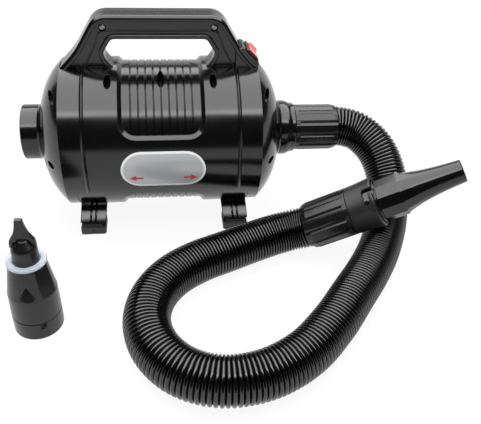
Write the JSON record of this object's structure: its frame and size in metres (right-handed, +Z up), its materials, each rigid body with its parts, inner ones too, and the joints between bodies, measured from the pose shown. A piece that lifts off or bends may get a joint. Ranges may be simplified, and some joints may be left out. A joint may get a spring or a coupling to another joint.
{
  "type": "pet dryer",
  "caption": "Portable pet dryer: barrel blower housing on four feet with a top handle, ribbed hose on bayonet cuffs, round nozzle and a spare blade nozzle.",
  "frame": {"origin": "middle of the bottom of the box round the blower and the spare nozzle, on the surface that the feet stand on", "axes": "+X along the blower axis from the intake to the hose outlet, +Y to the back, +Z up"},
  "size_m": [0.4993, 0.4313, 0.263],
  "materials": {
    "gloss_black": "moulded satin gloss",
    "satin_black": "satin moulded",
    "black_rubber": "matte",
    "red_rocker": "clear polished",
    "silver_label": "satin film",
    "zinc_steel": "zinc plated",
    "cast_aluminium": "as cast",
    "copper_core": "varnished winding",
    "brush_carbon": "pressed carbon",
    "filter_foam": "open foam",
    "clear_silicone": "translucent"
  },
  "bodies": {
    "housing": {"front_shell": "gloss_black", "rear_shell": "gloss_black", "foot_front_left": "black_rubber", "foot_front_right": "black_rubber", "foot_rear_left": "black_rubber", "foot_rear_right": "black_rubber", "screw_top_middle": "zinc_steel", "screw_top_left": "zinc_steel", "screw_top_right": "zinc_steel", "screw_upper_left": "zinc_steel", "screw_upper_right": "zinc_steel", "screw_lower_left": "zinc_steel", "screw_lower_right": "zinc_steel", "screw_end_left": "zinc_steel", "screw_end_right": "zinc_steel", "screw_handle_left": "zinc_steel", "screw_handle_right": "zinc_steel", "label_plate": "silver_label", "switch_body": "satin_black", "intake_guard": "satin_black", "intake_filter": "filter_foam", "cord_gland": "black_rubber", "fan_cover": "satin_black", "motor_frame": "zinc_steel", "front_bearing": "zinc_steel", "rear_bearing": "zinc_steel", "stator": "copper_core", "brush_front": "brush_carbon", "brush_rear": "brush_carbon", "fan_mount": "black_rubber", "motor_mount": "black_rubber", "hose": "satin_black", "hand_cuff": "gloss_black", "bayonet_collar": "gloss_black"},
    "rotor": {"rotor_shaft": "zinc_steel", "impeller": "cast_aluminium", "armature": "copper_core", "commutator": "copper_core"},
    "rocker": {"switch_rocker": "red_rocker"},
    "outlet_cuff": {"machine_cuff": "gloss_black"},
    "nozzle": {"round_nozzle": "gloss_black"},
    "spare": {"spare_nozzle": "gloss_black", "spare_nozzle_tip": "satin_black"},
    "seal": {"seal_ring": "clear_silicone"}
  },
  "joints": [
    {"name": "rotor_spin", "type": "hinge", "parent": "housing", "child": "rotor", "pos_m": [0, 0.0701, 0.115], "axis": [1, 0, 0], "continuous": true},
    {"name": "rocker_tilt", "type": "hinge", "parent": "housing", "child": "rocker", "pos_m": [0.10347, 0.0701, 0.21439], "axis": [0.6909, 0, -0.723], "range_deg": [-16, 0]},
    {"name": "machine_cuff_turn", "type": "hinge", "parent": "housing", "child": "outlet_cuff", "pos_m": [0.1643, 0.0701, 0.115], "axis": [1, 0, 0], "range_deg": [-26, 0]},
    {"name": "nozzle_turn", "type": "hinge", "parent": "housing", "child": "nozzle", "pos_m": [0.2463, -0.05559, 0.087], "axis": [0.8292, -0.183, 0.5281], "range_deg": [-26, 0]},
    {"name": "spare_nozzle_lift", "type": "slide", "parent": "housing", "child": "spare", "axis": [0, 0, 1], "range_m": [0, 0.08]},
    {"name": "seal_ring_slide", "type": "slide", "parent": "spare", "child": "seal", "axis": [0, 0, 1], "range_m": [0, 0.018]}
  ]
}
